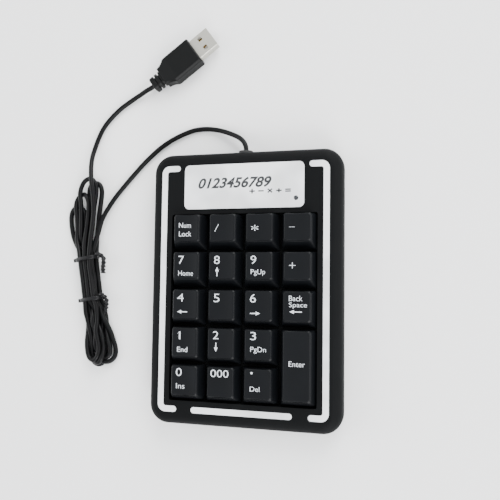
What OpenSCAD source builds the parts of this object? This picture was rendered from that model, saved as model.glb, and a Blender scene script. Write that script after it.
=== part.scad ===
// Numeric keypad with nineteen sliding keys, rubber domes over a membrane switch,
// and a thin USB lead wound into a tied hank. Millimetres. X to the right, Y to the
// rear where the lead leaves, Z up; the origin is under the middle of the case.

/* [Case] */
// Width of the case, left to right
case_w = 100; // [90:1:130]
// Length of the case, front to rear
case_l = 140; // [130:1:180]
// Height of the deck above the table
deck_z = 15; // [14:0.5:19]
// Plan radius of the case corners
corner_r = 10; // [8:0.5:14]
// Radius of the rounded rim round the deck
rim_r = 6.2; // [4:0.2:7]
// Radius of the lower edge of the case
base_r = 4; // [2:0.5:4]
// Thickness of the side walls
wall_t = 2.2; // [1.8:0.1:3]
// Thickness of the deck
deck_t = 2; // [1.5:0.1:2.5]
// Thickness of the floor of the lower half
floor_t = 2; // [1.6:0.1:2.4]
// Height of the joint between the two halves
seam_z = 6; // [5.5:0.1:7]

/* [Keys] */
// Distance from one key to the next
pitch = 19.05; // [17:0.05:20]
// Gap between neighbouring keys
key_gap = 0.9; // [0.6:0.1:1.5]
// Middle of the key field, measured from the middle of the case
field_y = -9.8; // [-12:0.1:-8]
// Height of the key tops above the deck
key_rise = 3.8; // [3:0.1:6]
// How far a key travels
travel = 3; // [2:0.1:3.5]
// Slope of a key's sides, from skirt to top
side_taper = 2.4; // [1.5:0.1:3]
// Slope of the front face on the two rear rows
front_taper_rear_rows = 4.2; // [3:0.1:5]
// Slope of the front face on the three front rows
front_taper_front_rows = 3; // [2:0.1:4]
// Wall thickness of a key
key_wall = 1.2; // [0.8:0.1:1.5]
// Depth of the hollow in a key's top
dish = 0.5; // [0.2:0.1:0.8]
// Width of the square stem under a key
stem_w = 6; // [5:0.1:7]
// Clearance between stem and sleeve
stem_clear = 0.1; // [0.05:0.01:0.2]

/* [Trim] */
// Length of the name plate
plate_w = 62.5; // [50:0.5:66]
// Depth of the name plate, front to rear
plate_l = 22.8; // [18:0.2:22.8]
// Thickness of the name plate
plate_t = 0.8; // [0.6:0.1:1]
// Width of the bright trim strips
strip_w = 3; // [2:0.1:3.4]
// Thickness of the bright trim strips
strip_t = 0.6; // [0.4:0.1:0.8]
// Radius of the hole for the status light
light_r = 1.2; // [0.8:0.1:1.6]

/* [Switch sheets] */
// Thickness of one membrane sheet
sheet_t = 0.2; // [0.1:0.05:0.25]
// Thickness of the rubber between the domes
rubber_t = 0.4; // [0.3:0.05:0.5]
// Radius of a rubber dome at its foot
dome_r = 4.5; // [4:0.1:5]

/* [Lead] */
// Diameter of the lead
cord_d = 2.6; // [2.4:0.1:3]
// Length of the metal shell that stands out of the plug
shell_l = 11.7; // [10:0.1:19]
// Length of the moulded plug body
grip_l = 23; // [20:0.5:30]

/* [Feet and screws] */
// How far the rubber feet stand out below the case
foot_h = 1; // [0.6:0.1:2]
// Radius of a rubber foot
foot_r = 5; // [4:0.5:6]
// Radius of a case screw's shank
screw_r = 1.3; // [1:0.1:1.5]

/* [Hidden] */
$fn = 64;
// Name, column from the left, row from the rear, rows covered
KEYS = [
    ["key_num_lock", 0, 0, 1], ["key_divide", 1, 0, 1], ["key_multiply", 2, 0, 1], ["key_minus", 3, 0, 1],
    ["key_7", 0, 1, 1], ["key_8", 1, 1, 1], ["key_9", 2, 1, 1], ["key_plus", 3, 1, 1],
    ["key_4", 0, 2, 1], ["key_5", 1, 2, 1], ["key_6", 2, 2, 1], ["key_backspace", 3, 2, 1],
    ["key_1", 0, 3, 1], ["key_2", 1, 3, 1], ["key_3", 2, 3, 1], ["key_enter", 3, 3, 2],
    ["key_0", 0, 4, 1], ["key_000", 1, 4, 1], ["key_decimal", 2, 4, 1]
];
long_key = KEYS[15];

eps = 0.01;
columns = 4;
rows = 5;

// Key field and the well round it
key_w = pitch - key_gap;
well_clear = 0.3;
field_w = columns * pitch - key_gap;
field_l = rows * pitch - key_gap;
well_w = field_w + 2 * well_clear;
well_l = field_l + 2 * well_clear;
well_wall = 1.5;
well_r = 1;

// Heights, from the table up
case_z = foot_h;
inner_z = case_z + floor_t;
rib_h = 1;
sheets_z = inner_z + rib_h;
rubber_z = sheets_z + 3 * sheet_t;
dome_foot_z = rubber_z + rubber_t;
dome_h = travel + 0.2;
dome_top_z = dome_foot_z + dome_h;
well_floor_t = 1.2;
well_floor_z = dome_top_z + 0.2;
stem_z = dome_top_z + 0.05;
skirt_z = well_floor_z + travel + 0.3;
key_top_z = deck_z + key_rise;
key_h = key_top_z - skirt_z;
sleeve_z = key_top_z - dish - key_wall - travel - 0.9;

// Keys
rear_taper = 0.3;
skirt_r = 0.8;
top_r = 1.4;
dish_r = (pow(key_w / 2 - side_taper, 2) + dish * dish) / (2 * dish);
sleeve_wall = 1.2;
barb_w = 2;
barb_out = 0.5;
barb_h = 0.8;

// Enter key's levelling wire
wire_r = 0.6;
wire_clear = 0.05;
wire_arm = 7;
wire_x = 5.6;
wire_reach = 13;
wire_hook = 2.6;
wire_bend = 1;
wire_post_y = 8;
wire_post_w = 2;
wire_z = well_floor_z + travel / 2 + wire_r + 0.3;
wire_rise = asin(travel / 2 / wire_arm);
slot_clear = 0.2;
lip = 0.8;

// Trim
trim_outer_w = case_w - 2 * rim_r;
trim_inset = 6.9;
trim_outer_l = case_l - 2 * trim_inset;
trim_r = 4;
trim_inner_r = 1.2;
strip_proud = 0.2;
stub_w = 10;
front_bar_w = 51.8;
plate_r = 2.6;
plate_y = trim_outer_l / 2 - plate_l / 2 - 0.05;
plate_proud = 0.3;
light_x = 27.2;
light_y = plate_y - plate_l / 2 + 4.6;

// Joint between the halves
lip_t = 1;
lip_h = 1.4;
lip_clear = 0.1;

// Screw posts in the corners
post_in = 7.7;
post_r = 3;
head_r = 2.5;
head_h = 1.8;
screw_l = 8;
seat_z = case_z + 3.4;
post_z = seam_z + 1;
posts = [for (sx = [-1, 1], sy = [-1, 1]) [sx * (case_w / 2 - post_in), sy * (case_l / 2 - post_in)]];

// Shallow recess for a label, under the case
label_w = 44;
label_l = 24;
label_sink = 0.3;

// Rubber feet
foot_sink = 0.6;
feet = [for (sx = [-1, 1], sy = [-1, 1]) [sx * (case_w / 2 - 17), sy * (case_l / 2 - 10)]];

// Circuit board behind the key field
board_w = 68;
board_l = 15;
board_t = 1.6;
board_z = rubber_z;
light_inset = 2.675;
board_y = light_y - light_inset + board_l / 2;
board_top = board_z + board_t;
board_posts = [for (sx = [-1, 1]) [sx * (board_w / 2 - 4), board_y + board_l / 2 - 3.5]];
board_post_r = 2.4;
board_screw_r = 0.9;
tail_w = 24;
tail_y = board_y - board_l / 2 + 4;

// Lead: the grommet in the rear wall, then the route along the table
cord_r = cord_d / 2;
cord_x = -1.2;
cord_z = seam_z;
grommet_r = cord_r + 1.6;
grommet_rim = 0.8;
flange_t = 1.2;
flange_clear = 0.15;
exit_y = case_l / 2 + flange_t;
header_y = board_y + 3;
jacket_y = header_y + 5.5;
lead_route = [
    [cord_x, exit_y, cord_z], [cord_x, 73.2, cord_z], [-2.6, 76.4, 5.4], [-5.6, 79.2, 4.4], [-9.6, 81.3, 3.5],
    [-14.6, 83.4, 2.5], [-20, 84.9, 1.8], [-25.5, 85.6, 1.4], [-31, 85.3, 1.4], [-36, 84, 1.4],
    [-41.3, 82, 1.4], [-46.6, 79.4, 1.4], [-52, 75.9, 1.4], [-57, 71.8, 1.4], [-62, 67.2, 1.4],
    [-67, 62, 1.4], [-72, 56.6, 1.4], [-77, 50.7, 1.7], [-81, 44.7, 2.4], [-84.6, 37.6, 3.4]
];
// Plug: its grip's front face, lying flat beside the case
plug_at = [-30.7, 128.1, 4.1];
plug_turn = 35.7;
grip_w = 15.8;
grip_t = 8;
neck_w = 11.4;
relief_l = 7;
relief_w = 8;
relief_t = 6.4;
shell_w = 12;
shell_t = 4.5;
shell_wall = 0.3;
shell_in = 6;
window_w = 2.3;
window_at = 5.6;
window_y = 2.9;
tongue_w = 11;
tongue_t = 1.9;
contact_t = 0.15;
// A point on the plug's axis, measured back from the grip's front face
function behind_plug(d) = plug_at - d * [cos(plug_turn), sin(plug_turn), 0];

tail_route = [
    [-90.4, 58, 6.6], [-91.3, 63, 5.6], [-92, 68, 4.4], [-92.2, 72.5, 3.2], [-91.6, 77, 2],
    [-89.8, 82.8, 1.5], [-86.8, 89, 1.4], [-82.8, 94, 1.4], [-76.6, 99.6, 1.4], [-70.4, 103.5, 1.6],
    [-63.6, 106.9, 2.4], [-59.4, 108.6, 3.6],
    behind_plug(grip_l + relief_l + 1), behind_plug(grip_l + relief_l)
];
hank_lower_z = 0.6;
hank_z = 8;
// Middle and radius of each round end along the hank
hank_ends = [[-94.6, 57, 4.8], [-95.8, 39, 10.4], [-92.8, 15.4, 6.4], [-89.2, -7, 5.2], [-82.4, -35.4, 8.8]];
tie_w = 1.8;
tie_t = 0.6;
// Twisted ends of a tie, from the side of the hank
tie_tail = [[0.3, 0, 5], [2.6, -0.6, 5], [4.4, -2.6, 4.4], [4.2, -5.4, 3.4], [3, -8, 2.6]];

function key_x(k) = (k[1] - (columns - 1) / 2) * pitch;
function key_y(k) = field_y + ((rows - 1) / 2 - k[2] - (k[3] - 1) / 2) * pitch;
function key_l(k) = k[3] * pitch - key_gap;
function front_taper(k) = k[2] < 2 ? front_taper_rear_rows : front_taper_front_rows;
function mix(a, b, t) = a + (b - a) * t;

// A rounded rectangle, centred
module rounded(w, l, r) {
    square([w - 2 * r, l], center = true);
    square([w, l - 2 * r], center = true);
    for (sx = [-1, 1], sy = [-1, 1]) translate([sx * (w / 2 - r), sy * (l / 2 - r)]) circle(r);
}

module block(w, l, r, z0, z1) {
    translate([0, 0, z0]) linear_extrude(z1 - z0) rounded(w, l, r);
}

// Half of a case section: a wall of half-width w whose upper corner has radius r
module rim_section(w, r, h) {
    square([w - r, h]);
    square([w, h - r]);
    translate([w - r, h - r]) intersection() {
        circle(r);
        square(r);
    }
}

module whole_section(w, r, h) {
    rim_section(w, r, h);
    mirror([1, 0]) rim_section(w, r, h);
}

// A block with rounded plan corners and a rounded upper rim, its foot at z = 0
module rimmed_block(w, l, plan_r, r, h) {
    for (turn = [0 : 3]) {
        across = turn % 2 == 0 ? w : l;
        along = turn % 2 == 0 ? l : w;
        rotate(turn * 90) translate([across / 2 - plan_r, along / 2 - plan_r])
            rotate_extrude(angle = 90) rim_section(plan_r, r, h);
    }
    rotate([90, 0, 0]) linear_extrude(l - 2 * plan_r, center = true) whole_section(w / 2, r, h);
    rotate([90, 0, 90]) linear_extrude(w - 2 * plan_r, center = true) whole_section(l / 2, r, h);
}

// A round bar from one point to another
module rod(a, b, r) {
    d = b - a;
    translate(a) rotate([0, acos(d[2] / norm(d)), atan2(d[1], d[0])]) cylinder(r = r, h = norm(d));
}

module at_key(k) {
    translate([key_x(k), key_y(k), 0]) children();
}

module plate_outline(w, l) {
    translate([0, plate_y]) rounded(w, l, plate_r);
}

// Ring of the trim, before it is cut into its three pieces
module trim_ring() {
    difference() {
        rounded(trim_outer_w, trim_outer_l, trim_r);
        rounded(trim_outer_w - 2 * strip_w, trim_outer_l - 2 * strip_w, trim_inner_r);
    }
}

// One C-shaped side strip: the ring beyond the stub ends, which are round
module trim_side(side) {
    stub_x = trim_outer_w / 2 - stub_w + strip_w / 2;
    intersection() {
        trim_ring();
        translate([side * (stub_x + case_w / 2), 0]) square([case_w, case_l], center = true);
    }
    for (sy = [-1, 1]) translate([side * stub_x, sy * (trim_outer_l - strip_w) / 2]) circle(strip_w / 2);
}

module trim_bar() {
    translate([0, -(trim_outer_l - strip_w) / 2]) rounded(front_bar_w, strip_w, strip_w / 2 - eps);
}

module strip() {
    translate([0, 0, deck_z + strip_proud - strip_t]) linear_extrude(strip_t) children();
}

// Square sleeve that guides a stem, with a window on two sides for the stem's barbs
module sleeve() {
    outer = stem_w + 2 * (stem_clear + sleeve_wall);
    difference() {
        translate([0, 0, (well_floor_z + sleeve_z) / 2 - eps])
            cube([outer, outer, sleeve_z - well_floor_z + 2 * eps], center = true);
        translate([0, 0, (well_floor_z + sleeve_z - lip) / 2])
            cube([barb_w + 2 * slot_clear, outer + 1, sleeve_z - lip - well_floor_z], center = true);
    }
}

// Two posts that hold the levelling wire, with a bore the wire turns in
module wire_posts() {
    post_t = 1.85;
    post_top = wire_z + wire_r + 0.6;
    for (s = [-1, 1]) translate([wire_x - 1, s * wire_post_y - wire_post_w / 2, well_floor_z - eps])
        cube([post_t, wire_post_w, post_top - well_floor_z]);
}

// Shell of the upper half with the tub that the keys sit in
module cover_body() {
    tub_w = well_w + 2 * well_wall;
    tub_l = well_l + 2 * well_wall;
    difference() {
        union() {
            difference() {
                translate([0, 0, seam_z]) rimmed_block(case_w, case_l, corner_r, rim_r, deck_z - seam_z);
                translate([0, 0, seam_z - 1]) rimmed_block(case_w - 2 * wall_t, case_l - 2 * wall_t,
                    corner_r - wall_t, rim_r - wall_t, deck_z - deck_t - seam_z + 1);
            }
            translate([0, field_y]) block(tub_w, tub_l, well_r + well_wall, inner_z + 0.2, deck_z - eps);
            for (p = posts) translate([p[0], p[1], post_z])
                cylinder(r = post_r, h = deck_z - deck_t - post_z + eps);
        }
        translate([0, field_y]) block(well_w, well_l, well_r, well_floor_z, deck_z + 1);
        translate([0, field_y]) block(well_w, well_l, well_r, 0, well_floor_z - well_floor_t);
        translate([0, field_y + well_l / 2, inner_z])
            cube([tail_w + 1, 4 * well_wall, 2 * (rubber_z - inner_z) + 1], center = true);
    }
}

module top_cover() {
    color("#1c1d1f") difference() {
        union() {
            cover_body();
            for (k = KEYS) at_key(k) sleeve();
            at_key(long_key) wire_posts();
        }
        for (k = KEYS) at_key(k) translate([0, 0, deck_z / 2])
            cube([stem_w + 2 * stem_clear, stem_w + 2 * stem_clear, deck_z], center = true);
        at_key(long_key) {
            translate([wire_x, 0, wire_z]) rotate([90, 0, 0])
                cylinder(r = wire_r + wire_clear, h = 2 * wire_post_y + 3 * wire_post_w, center = true);
            for (s = [-1, 1]) translate([wire_x - wire_arm, s * (wire_reach - wire_hook / 2), 0])
                translate([0, 0, well_floor_z - well_floor_t / 2])
                    cube([5, wire_hook + 2, well_floor_t + 1], center = true);
        }
        translate([0, 0, deck_z + plate_proud - plate_t]) linear_extrude(2) plate_outline(plate_w, plate_l);
        strip_recess();
        translate([light_x, light_y, 0]) cylinder(r = light_r, h = deck_z + 1);
        for (p = posts) translate([p[0], p[1], 0]) cylinder(r = screw_r, h = seat_z + screw_l + 0.5);
        grommet_hole();
        translate([0, 0, seam_z - eps]) linear_extrude(lip_h + lip_clear + eps) lip_outline(lip_clear);
    }
}

// Hole for the grommet, with a pocket inside the wall for its inner flange
module grommet_hole() {
    translate([cord_x, case_l / 2, cord_z]) rotate([90, 0, 0]) {
        cylinder(r = grommet_r, h = 4 * wall_t, center = true);
        translate([0, 0, wall_t])
            cylinder(r = grommet_r + grommet_rim + flange_clear, h = flange_t + flange_clear);
    }
}

// Plan of the lip that stands up inside the wall, grown outwards by a clearance
module lip_outline(grow) {
    inner_w = case_w - 2 * wall_t;
    inner_l = case_l - 2 * wall_t;
    inner_r = corner_r - wall_t;
    out = lip_t + grow;
    difference() {
        rounded(inner_w + 2 * out, inner_l + 2 * out, inner_r + out);
        rounded(inner_w, inner_l, inner_r);
    }
}

module strip_recess() {
    translate([0, 0, deck_z + strip_proud - strip_t]) linear_extrude(2) {
        trim_side(-1);
        trim_side(1);
        trim_bar();
    }
}

module bottom_cover() {
    inner_w = case_w - 2 * wall_t;
    inner_l = case_l - 2 * wall_t;
    inner_r = corner_r - wall_t;
    color("#1c1d1f") difference() {
        union() {
            difference() {
                translate([0, 0, seam_z]) mirror([0, 0, 1])
                    rimmed_block(case_w, case_l, corner_r, base_r, seam_z - case_z);
                block(inner_w, inner_l, inner_r, inner_z, seam_z + 1);
            }
            translate([0, 0, seam_z - eps]) linear_extrude(lip_h + eps) lip_outline(0);
            for (p = posts) translate([p[0], p[1], case_z + eps])
                cylinder(r = post_r + 0.6, h = post_z - case_z - eps);
            for (p = board_posts) translate([p[0], p[1], inner_z - eps])
                cylinder(r = board_post_r, h = board_z - inner_z + eps);
            support_ribs();
        }
        for (p = posts) translate([p[0], p[1], 0]) {
            cylinder(r = head_r + 0.3, h = seat_z);
            cylinder(r = screw_r + 0.2, h = post_z + 1);
        }
        for (p = board_posts) translate([p[0], p[1], inner_z - 0.5])
            cylinder(r = board_screw_r, h = board_z);
        for (p = feet) translate([p[0], p[1], 0]) cylinder(r = foot_r, h = case_z + foot_sink);
        grommet_hole();
        block(label_w, label_l, 1, 0, case_z + label_sink);
    }
}

// Ribs that carry the switch sheets, crossing under every key
module support_ribs() {
    rib_w = 1.2;
    pad_r = 3.5;
    translate([0, field_y, inner_z - eps]) linear_extrude(rib_h + eps) {
        for (i = [0 : columns]) translate([(i - columns / 2) * (field_w - 2 * rib_w) / columns, 0])
            square([rib_w, field_l - 2 * rib_w], center = true);
        for (i = [0 : rows]) translate([0, (i - rows / 2) * (field_l - 2 * rib_w) / rows])
            square([field_w - 2 * rib_w, rib_w], center = true);
        for (k = KEYS) translate([key_x(k), key_y(k) - field_y]) circle(pad_r);
    }
}

module name_plate() {
    color("#e6e7e8") translate([0, 0, deck_z + plate_proud - plate_t]) linear_extrude(plate_t) difference() {
        plate_outline(plate_w, plate_l);
        translate([light_x, light_y]) circle(light_r);
    }
}

module trim_left() {
    color("#e6e7e8") strip() trim_side(-1);
}

module trim_right() {
    color("#e6e7e8") strip() trim_side(1);
}

module trim_front() {
    color("#e6e7e8") strip() trim_bar();
}

// Tapered body of a key, less inset all round and cap_t off its top
module key_form(k, inset, cap_t) {
    t = 1 - cap_t / key_h;
    taper = front_taper(k);
    translate([0, 0, skirt_z]) hull() {
        linear_extrude(eps) rounded(key_w - 2 * inset, key_l(k) - 2 * inset, skirt_r, $fn = 16);
        translate([0, (taper - rear_taper) / 2 * t, key_h - cap_t - eps]) linear_extrude(eps)
            rounded(key_w - 2 * (inset + side_taper * t), key_l(k) - 2 * inset - (taper + rear_taper) * t,
                mix(skirt_r, top_r, t), $fn = 24);
    }
}

// Square stem with a wedge-shaped barb on its front and rear faces
module stem() {
    barb_top = sleeve_z - lip - slot_clear / 2;
    translate([0, 0, (stem_z + key_top_z - dish - key_wall / 2) / 2])
        cube([stem_w, stem_w, key_top_z - dish - key_wall / 2 - stem_z], center = true);
    barb = [[-1, 0], [0, 0], [barb_out, barb_h * 0.7], [barb_out, barb_h], [-1, barb_h]];
    for (s = [0, 1]) mirror([0, s, 0]) translate([-barb_w / 2, stem_w / 2, barb_top - barb_h])
        rotate([90, 0, 90]) linear_extrude(barb_w) polygon(barb);
}

module keycap(k) {
    color("#232427") translate([key_x(k), key_y(k), 0]) {
        difference() {
            key_form(k, 0, 0);
            translate([0, 0, -eps]) key_form(k, key_wall, dish + key_wall);
            translate([0, 0, key_top_z - dish + dish_r]) rotate([90, 0, 0])
                cylinder(r = dish_r, h = 3 * pitch, center = true, $fn = 240);
        }
        stem();
        if (k[3] > 1) wire_clips();
    }
}

// Hooks under the long key that the levelling wire's ends slide in
module wire_clips() {
    hook_z = wire_z + travel / 2;
    slot_h = 2 * (wire_r + slot_clear / 2);
    slot_w = 2 * (wire_r + slot_clear);
    slot_x = wire_x - (wire_arm * cos(wire_rise) + wire_arm) / 2;
    for (s = [-1, 1]) translate([slot_x, s * (wire_reach - wire_hook + 0.9), 0]) difference() {
        translate([-slot_w / 2 - lip, -0.7, hook_z - slot_h / 2 - lip])
            cube([slot_w + 2 * lip, 1.4, key_top_z - dish - key_wall / 2 - hook_z + slot_h / 2 + lip]);
        translate([-slot_w / 2, -1, hook_z - slot_h / 2]) cube([slot_w, 2, slot_h]);
    }
}

// Wire bent to a U: a long bar in the cover's posts and two arms with inward ends
module enter_stabiliser() {
    straight = wire_reach - wire_bend;
    color("#b9bcc0") at_key(long_key) translate([wire_x, 0, wire_z]) rotate([0, wire_rise, 0]) {
        rod([0, -straight, 0], [0, straight, 0], wire_r);
        for (s = [0, 1]) mirror([0, s, 0]) {
            rod([-wire_bend, wire_reach, 0], [wire_bend - wire_arm, wire_reach, 0], wire_r);
            rod([-wire_arm, straight, 0], [-wire_arm, wire_reach - wire_hook, 0], wire_r);
            translate([-wire_bend, straight, 0]) wire_corner();
            translate([wire_bend - wire_arm, straight, 0]) rotate(90) wire_corner();
        }
    }
}

module wire_corner() {
    rotate_extrude(angle = 90) translate([wire_bend, 0]) circle(wire_r);
}

// One rubber sheet with a hollow dome under each key and a contact nub inside
module rubber_domes() {
    cone_h = dome_h - 0.6;
    crown_inset = 0.6;
    crown_r = stem_w / 2 - crown_inset;
    skin = 0.5;
    color("#d8dad6") difference() {
        union() {
            translate([0, field_y]) block(field_w - 1, field_l - 1, 1, rubber_z, dome_foot_z);
            for (k = KEYS) at_key(k) {
                translate([0, 0, dome_foot_z - eps]) cylinder(r1 = dome_r, r2 = crown_r, h = cone_h + eps);
                translate([0, 0, dome_foot_z + cone_h - eps])
                    cylinder(r = crown_r, h = dome_h - cone_h + eps);
            }
        }
        for (k = KEYS) at_key(k) difference() {
            translate([0, 0, rubber_z - eps])
                cylinder(r1 = dome_r - skin, r2 = crown_r - skin, h = cone_h + rubber_t - skin);
            translate([0, 0, dome_foot_z + travel * 0.3]) cylinder(r = 1, h = dome_h);
        }
    }
}

// Outline of a membrane sheet with its tail to the circuit board
module membrane_outline() {
    translate([0, field_y]) rounded(field_w - 1, field_l - 1, 1);
    translate([-tail_w / 2, field_y]) square([tail_w, tail_y - field_y]);
}

module membrane_lower() {
    color("#c9d6d2") translate([0, 0, sheets_z]) linear_extrude(sheet_t) membrane_outline();
}

module membrane_spacer() {
    color("#eef2f0") translate([0, 0, sheets_z + sheet_t]) linear_extrude(sheet_t) difference() {
        membrane_outline();
        for (k = KEYS) translate([key_x(k), key_y(k)]) circle(dome_r / 2);
    }
}

module membrane_upper() {
    color("#b7c9c4") translate([0, 0, sheets_z + 2 * sheet_t]) linear_extrude(sheet_t) membrane_outline();
}

module tail_pad() {
    color("#3a3b3d") translate([0, tail_y - 2, inner_z + rib_h / 2]) cube([tail_w, 3, rib_h], center = true);
}

module circuit_board() {
    color("#2f6b3a") translate([0, 0, board_z]) linear_extrude(board_t) difference() {
        translate([0, board_y]) square([board_w, board_l], center = true);
        for (p = board_posts) translate(p) circle(board_screw_r + 0.3);
    }
}

module controller_chip() {
    pins = 8;
    color("#26272a") translate([-16, board_y, board_top]) {
        translate([0, 0, 1.1]) cube([10.3, 5.3, 1.7], center = true);
        for (i = [0 : pins - 1], s = [-1, 1]) translate([(i - (pins - 1) / 2) * 1.27, s * 3.1, 0.45])
            cube([0.42, 1.4, 0.9], center = true);
    }
}

module crystal() {
    color("#c4c7ca") translate([cord_x - 2, board_y - 3, board_top])
        linear_extrude(3.4) rounded(10.8, 4.4, 2.1);
}

module wire_header() {
    color("#e9e6da") translate([cord_x - 4.5, header_y - 2, board_top]) difference() {
        cube([9, 4.5, 4.4]);
        for (i = [0 : 3]) translate([4.5 + (i - 1.5) * 2, 4.6, 2.4]) rotate([90, 0, 0])
            cylinder(r = 0.55, h = 2.1);
    }
}

module status_led() {
    led_r = 1.5;
    led_z = deck_z - deck_t - 4.4;
    color("#d94b3d") translate([light_x, light_y, 0]) {
        translate([0, 0, led_z]) cylinder(r = led_r, h = 2.4);
        translate([0, 0, led_z + 2.4]) sphere(led_r);
        translate([0, 0, led_z]) cylinder(r = led_r + 0.35, h = 0.8);
        for (s = [-1, 1]) translate([s * 1.27 / 2, 0, board_top])
            cylinder(r = 0.25, h = led_z - board_top + 0.1);
    }
}

module led_lens() {
    color("#54575b") translate([light_x, light_y, deck_z - deck_t])
        cylinder(r = light_r, h = deck_t + plate_proud);
}

module board_screws() {
    color("#a9acb0") for (p = board_posts) translate([p[0], p[1], 0]) {
        translate([0, 0, board_top]) cylinder(r = 2, h = 1.2);
        translate([0, 0, inner_z]) cylinder(r = board_screw_r, h = board_top - inner_z + eps);
    }
}

// Self-tapping case screws, driven up from below into the upper half
module case_screws() {
    color("#8d9094") for (p = posts) translate([p[0], p[1], seat_z]) difference() {
        union() {
            translate([0, 0, -head_h / 2]) cylinder(r = screw_r, h = screw_l + head_h / 2);
            translate([0, 0, -head_h]) cylinder(r = head_r, h = head_h);
        }
        translate([0, 0, -head_h]) for (a = [0, 90]) rotate(a) cube([3, 0.6, 2], center = true);
    }
}

module rubber_feet() {
    color("#2c2c2e") for (p = feet) translate([p[0], p[1], 0]) cylinder(r = foot_r, h = foot_h + foot_sink);
}

module cord_grommet() {
    y0 = case_l / 2;
    color("#202124") translate([cord_x, exit_y, cord_z]) rotate([90, 0, 0]) difference() {
        union() {
            cylinder(r = grommet_r + grommet_rim, h = flange_t);
            cylinder(r = grommet_r, h = exit_y - y0 + wall_t + flange_t);
            translate([0, 0, flange_t + wall_t]) cylinder(r = grommet_r + grommet_rim, h = flange_t);
        }
        translate([0, 0, -1]) cylinder(r = cord_r, h = 10);
    }
}

module cord_inside() {
    color("#18191b") rod([cord_x, jacket_y, cord_z], [cord_x, exit_y, cord_z], cord_r);
}

// Four wires from the cut jacket, each in a crimped end that sits in the header
module core_wires() {
    wires = ["#c0392b", "#ecf0f1", "#27ae60", "#111214"];
    core_r = 0.28;
    crimp_r = 0.38;
    crimp_y = header_y + 2.9;
    wires_z = board_top + 2.4;
    for (i = [0 : 3]) let (x = cord_x + (i - 1.5) * 2, x_end = cord_x + (i - 1.5) * 0.6) color(wires[i]) {
        rod([x, header_y + 0.5, wires_z], [x, crimp_y, wires_z], crimp_r);
        rod([x, crimp_y - 0.2, wires_z], [x_end, jacket_y - 0.5, cord_z], core_r);
        rod([x_end, jacket_y - 0.7, cord_z], [x_end, jacket_y, cord_z], core_r);
    }
}

// Directions along a route, and a tube of eight-sided rings swept along it
function heading(p, i) = p[min(i + 1, len(p) - 1)] - p[max(i - 1, 0)];
function unit(v) = v / norm(v);
function ring(p, i, r, sides) = let (
    t = unit(heading(p, i)),
    u = unit(cross(t, [0, 0, 1])),
    v = cross(u, t)
) [for (s = [0 : sides - 1]) p[i] + r * (cos(s * 360 / sides + 22.5) * u + sin(s * 360 / sides + 22.5) * v)];

module tube(p, r) {
    sides = 8;
    n = len(p);
    points = [for (i = [0 : n - 1]) each ring(p, i, r, sides)];
    skin = [for (i = [0 : n - 2], s = [0 : sides - 1]) let (t = (s + 1) % sides)
        [i * sides + s, i * sides + t, (i + 1) * sides + t, (i + 1) * sides + s]];
    near_end = [for (s = [sides - 1 : -1 : 0]) s];
    far_end = [for (s = [0 : sides - 1]) (n - 1) * sides + s];
    polyhedron(points, concat([near_end], skin, [far_end]));
}

module cord_lead() {
    color("#18191b") tube(lead_route, cord_r);
}

module cord_tail() {
    color("#18191b") tube(tail_route, cord_r);
}

// Outer shape of the folded lead: four tapering stretches between round ends
module cord_hank() {
    color("#18191b") translate([0, 0, hank_lower_z]) linear_extrude(hank_z - hank_lower_z)
        for (i = [0 : len(hank_ends) - 2]) hull() for (e = [hank_ends[i], hank_ends[i + 1]])
            translate([e[0], e[1]]) circle(e[2], $fn = 32);
}

// Twist tie: a band round the hank at one waist, with its two ends twisted together
module tie(e, turn) {
    w = 2 * e[2];
    h = hank_z - hank_lower_z;
    color("#1d1e20") translate([e[0], e[1], 0]) rotate(turn) {
        translate([0, 0, hank_lower_z + h / 2]) rotate([90, 0, 0]) linear_extrude(tie_w, center = true)
            difference() {
                rounded(w + 2 * tie_t, h + 2 * tie_t, 2.4);
                rounded(w, h, 1.8);
            }
        tube([for (p = tie_tail) p + [w / 2, 0, 0]], tie_w / 2);
    }
}

module tie_upper() {
    tie(hank_ends[2], 10);
}

module tie_lower() {
    tie(hank_ends[3], 10);
}

module at_plug() {
    translate(plug_at) rotate(plug_turn) children();
}

// Moulded grip: the plan outline, cut to its side outline and its bevelled front outline
module plug_grip() {
    shoulder_r = 7.5;
    bevel = 1.2;
    color("#1b1c1e") at_plug() difference() {
        intersection() {
            linear_extrude(grip_t, center = true) difference() {
                translate([-grip_l, -grip_w / 2]) square([grip_l, grip_w]);
                for (s = [-1, 1]) translate([-grip_l, s * (neck_w / 2 + shoulder_r)]) circle(shoulder_r);
            }
            rotate([90, 0, 0]) linear_extrude(grip_w + 2, center = true) polygon([
                [0, -grip_t / 2 + 0.6], [-0.6, -grip_t / 2], [-15, -grip_t / 2], [-grip_l, -relief_t / 2 - 0.3],
                [-grip_l, relief_t / 2 + 0.3], [-15, grip_t / 2], [-0.6, grip_t / 2], [0, grip_t / 2 - 0.6]
            ]);
            rotate([90, 0, 90]) linear_extrude(2 * grip_l + 2, center = true) polygon([
                for (s = [[1, 1], [-1, 1], [-1, -1], [1, -1]], i = s[0] * s[1] > 0 ? [0, 1] : [1, 0])
                    [s[0] * (grip_w / 2 - bevel * i), s[1] * (grip_t / 2 - bevel * (1 - i))]
            ]);
        }
        translate([-shell_in, -shell_w / 2, -shell_t / 2]) cube([shell_in + 1, shell_w, shell_t]);
    }
}

// Strain relief: a short block with two grooves that let it bend
module plug_relief() {
    groove = 0.9;
    color("#1b1c1e") at_plug() translate([-grip_l, 0, 0]) rotate([0, -90, 0]) difference() {
        linear_extrude(relief_l) rounded(relief_t, relief_w, 1.2);
        for (z = [1, 3.4]) translate([0, 0, z]) linear_extrude(groove) difference() {
            square([relief_t + 2, relief_w + 2], center = true);
            rounded(relief_t - 1.8, relief_w - 1.8, 1);
        }
    }
}

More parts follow.
